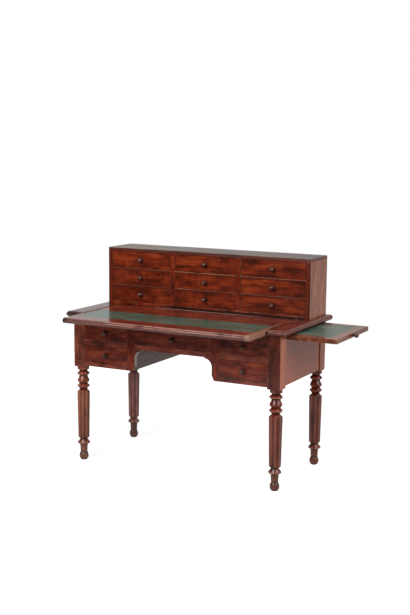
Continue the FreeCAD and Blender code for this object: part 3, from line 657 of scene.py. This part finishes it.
for name, plan in boards.items():
    dress(name, mahoganyFinish(name + "_wood", {"edges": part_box(name), **plan}))
print("carcase boards finished:", len(boards))

drawerFront = {
    "firstSeed": 60, "firstLiningSeed": 160, "joint": 0.0004, "boxRough": 0.62,
    "gallery": {"thickness": 0.014, "side": 0.007, "wood": redWood},
    "apron": {"thickness": 0.020, "side": 0.010, "wood": apronWood},
    # the fronts' edges are darkened by dirt and by painted shade of the gaps round them
    "shared": {"edgeWidth": 0.004, "grimeAndShade": 0.70, "figure": 1.15, "shine": 0.42},
    # on the right column the pale edge wear is partly a painted reflection of the lights on uneven
    # polish
    "wear": {"gallery": 0.12, "left": 0.10, "middle": 0.25, "right": 0.40},
    "knobDirtAndShadow": (0.008, 0.026), "dirtAndShadowShare": 0.55,
    "darkened": {"gallery_drawer_low_left": 0.22, "gallery_drawer_low_right": 0.10,
                 "drawer_lower_left": 0.12},
    # painted shade: the left gallery drawers darken towards their left ends
    "darkEnd": (-0.58, -0.43), "darkTop": (0.935, 0.965), "topShare": 0.7, "darkShare": 0.72,
}


def liningTouch(name, row, faceBack, seed):
    # only the front board is mahogany, darkened round its knob by dirt and a painted shadow; the box
    # behind it is plain wood, with the grain of its two sides running from front to back
    look = drawerFront
    low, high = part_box(name + "_knob")
    left, right = [corner.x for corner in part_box(name)]
    inner = (right - left) / 2 - look[row]["side"]

    def touch(finish, where, tone, rough):
        x, y, z = finish.axes()
        across, up = x - (low.x + high.x) / 2, z - (low.z + high.z) / 2
        # dirt and a painted shadow round the knob
        dirtAndShadow = 1 - (across * across + up * up).root().rise(*look["knobDirtAndShadow"])
        tone = finish.mix(dirtAndShadow * look["dirtAndShadowShare"], tone, mahogany["dust"])
        if name in look["darkened"]:
            tone = finish.mix(look["darkened"][name], tone, mahogany["dark"])
        if row == "gallery" and name.endswith("left"):  # painted shade: these drawers darken towards their left ends, less in the top row
            end = (1 - x.rise(*look["darkEnd"])) * (1 - z.rise(*look["darkTop"]) * look["topShare"])
            tone = finish.mix(end * look["darkShare"], tone, mahogany["dark"])
        behind = y.rise(faceBack, faceBack + look["joint"])
        side = abs(x - (left + right) / 2).rise(inner - look["joint"], inner)
        lengthwise = drawerLining(finish, grainSpace(finish, "y", seed))
        wood = finish.mix(side, drawerLining(finish, where), lengthwise)
        return finish.mix(behind, tone, wood), rough * (1 - behind) + behind * look["boxRough"]
    return touch


drawers = sorted(n for n in nodes
                 if "drawer" in n and not n.endswith("_knob") and n != "drawer_runners")
for place, name in enumerate(drawers):
    low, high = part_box(name)
    row = "gallery" if name.startswith("gallery") else "apron"
    column = "gallery" if row == "gallery" else name.split("_")[-1]
    faceBack = low.y + drawerFront[row]["thickness"]
    dress(name, mahoganyFinish(name + "_wood", board(
        "x", drawerFront["firstSeed"] + place, drawerFront[row]["wood"], **drawerFront["shared"],
        edges=(low, Vector((high.x, faceBack, high.z))), wear=drawerFront["wear"][column],
        touch=liningTouch(name, row, faceBack, drawerFront["firstLiningSeed"] + place))))
    dress(name + "_knob", knobFinish(name + "_knob_wood"))
print("drawers finished:", len(drawers))

leathers = {"writing_leather": "slab", "slide_leather_left": "slide", "slide_leather_right": "slide"}
for name, kind in leathers.items():
    dress(name, leatherFinish(name + "_hide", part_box(name), greenLeather[kind]))
for name in ("slide_knob_left", "slide_knob_right"):
    dress(name, knobFinish(name + "_wood"))
plainSeeds = {"drawer_runners": 91, "slide_guides": 92}
for name, seed in plainSeeds.items():
    dress(name, liningFinish(name + "_wood", seed))

easing = {"join": 1e-5, "segments": 2, "sharpest": math.radians(40)}
easedWidths = {
    0.0012: ("gallery_top", "gallery_bottom", "gallery_side_left", "gallery_side_right",
             "side_panel_left", "side_panel_right", "front_top_rail", "back_panel"),
    0.0006: ("gallery_dividers", "gallery_shelves", "front_rails", "front_stiles"),
    0.0010: drawers,
}


def soften(name, width):
    # loose CAD triangles are joined, then each arris is eased by a small round
    piece = nodes[name]
    weld = piece.modifiers.new("joinTriangles", "WELD")
    weld.merge_threshold = easing["join"]
    ease = piece.modifiers.new("easeArris", "BEVEL")
    ease.width, ease.segments, ease.limit_method = width, easing["segments"], "ANGLE"
    ease.angle_limit, ease.harden_normals = easing["sharpest"], True


for width, names in easedWidths.items():
    for name in names:
        soften(name, width)
print("leather, knobs and eased edges done")

white = (1, 1, 1, 1)
floorPlan = {
    "centre": (0.0, 0.3), "inner": 0.02, "radius": 2.8, "rings": 24, "spokes": 96,
    "colour": (0.44, 0.44, 0.44, 1.0), "glow": 0.77, "fullGlow": (1.0, 2.2), "mirrored": 0.25,
}


def floorDisc(plan):
    # a flat disc on two parameters: radius times the cosine and sine of the turn
    rings, spokes = plan["rings"], plan["spokes"]
    radius, turn = np.meshgrid(np.linspace(plan["inner"], plan["radius"], rings),
                               np.linspace(0, 2 * np.pi, spokes, endpoint=False), indexing="ij")
    centreX, centreY = plan["centre"]
    points = np.stack([centreX + radius * np.cos(turn), centreY + radius * np.sin(turn),
                       np.zeros_like(radius)], -1).reshape(-1, 3)
    ring, spoke = np.meshgrid(np.arange(rings - 1), np.arange(spokes), indexing="ij")
    ring, spoke = ring.ravel(), spoke.ravel()
    following = (spoke + 1) % spokes
    faces = np.stack([ring * spokes + spoke, (ring + 1) * spokes + spoke,
                      (ring + 1) * spokes + following, ring * spokes + following], 1)
    middle = list(range(spokes))
    mesh = bpy.data.meshes.new("studioFloor")
    mesh.from_pydata(points.tolist(), [], faces.tolist() + [middle])
    mesh.validate()
    disc = bpy.data.objects.new("studioFloor", mesh)
    scene.collection.objects.link(disc)
    return disc


def floorFinish(plan):
    # matt white paper that still takes the shadow; its glow is for the eye and for reflections only
    finish = newFinish("studioFloor_paper")
    away = finish.node("ShaderNodeVectorMath", {"operation": "LENGTH"}, {0: finish.place()}, out=1)
    eye, glossy = finish.rays()
    seen = eye.most(glossy * plan["mirrored"])
    glow = plan["glow"] + away.rise(*plan["fullGlow"]) * (1 - plan["glow"])
    paper = finish.node("ShaderNodeBsdfDiffuse", {}, {"Color": plan["colour"]})
    light = finish.node("ShaderNodeEmission", {}, {"Color": white, "Strength": glow * seen})
    both = finish.node("ShaderNodeAddShader", {}, {0: paper, 1: light})
    finish.node("ShaderNodeOutputMaterial", {}, {"Surface": both})
    return finish.owner


floor = floorDisc(floorPlan)
floor.data.materials.append(floorFinish(floorPlan))

studio = {
    "ambient": 0.28,  # soft light from all round
    # what polish mirrors: the backdrop behind the desk from left to right, and the dim room before it
    "left": 0.62, "right": 0.55, "room": 0.03, "turn": (-0.30, 0.30), "sweep": (-0.45, 0.45),
    "lamps": [
        {"name": "frontBox", "at": (-0.5, -2.8, 2.8), "aim": (0, 0, 0.75), "size": 1.8, "power": 103},
        {"name": "lowBox", "at": (0.2, -4.2, 1.3), "aim": (0, 0, 0.75), "size": 0.6, "power": 16},
        {"name": "topBox", "at": (-0.4, -0.8, 4.2), "aim": (0, 0, 0.75), "size": 2.0, "power": 8},
        # broad and high, so that its mirror image on the top stays soft
        {"name": "rightBox", "at": (4.0, -0.6, 4.2), "aim": (0.3, 0, 0.6), "size": 5.0, "power": 262},
    ],
}


def studioWorld(plan):
    # white to the eye on every side
    world = bpy.data.worlds.new("studioWorld")
    scene.world = world
    finish = Finish(world)
    x, y, _ = finish.split(finish.node("ShaderNodeTexCoord", out=0))
    behind = y.rise(*plan["turn"])
    backdrop = plan["left"] + x.rise(*plan["sweep"]) * (plan["right"] - plan["left"])
    seen, glossy = finish.rays()
    mirrored = plan["room"] + behind * (backdrop - plan["room"])
    unseen = glossy * mirrored + (1 - glossy) * plan["ambient"]
    level = seen + (1 - seen) * unseen
    sky = finish.node("ShaderNodeBackground", {}, {"Color": white, "Strength": level})
    finish.node("ShaderNodeOutputWorld", {}, {"Surface": sky})


def hangLamp(plan):
    lamp = bpy.data.lights.new(plan["name"], "AREA")
    lamp.energy, lamp.size = plan["power"], plan["size"]
    holder = bpy.data.objects.new(plan["name"], lamp)
    scene.collection.objects.link(holder)
    holder.location = plan["at"]
    holder.rotation_mode = "QUATERNION"
    aim = Vector(plan["aim"]) - Vector(plan["at"])
    holder.rotation_quaternion = aim.to_track_quat("-Z", "Y")


studioWorld(studio)
for plan in studio["lamps"]:
    hangLamp(plan)
print("floor, backdrop and lamps set")

cameraPlan = {
    "eye": (2.5383, -4.8220, 1.6169),
    "right": (0.88645, 0.46275, 0.00883), "up": (-0.07757, 0.12974, 0.98851),
    "focal": 1116.15, "picture": 615,  # both in pixels
    "sensor": 36.0, "clip": (0.1, 60.0),
}


def setCamera(plan):
    lens = bpy.data.cameras.new("photoCamera")
    lens.lens, lens.sensor_width = plan["focal"] * plan["sensor"] / plan["picture"], plan["sensor"]
    lens.clip_start, lens.clip_end = plan["clip"]
    camera = bpy.data.objects.new("photoCamera", lens)
    scene.collection.objects.link(camera)
    right, up = Vector(plan["right"]).normalized(), Vector(plan["up"]).normalized()
    turn = Matrix((right, up, right.cross(up))).transposed()
    camera.matrix_world = Matrix.Translation(plan["eye"]) @ turn.to_4x4()
    scene.camera = camera


setCamera(cameraPlan)

print("camera set")
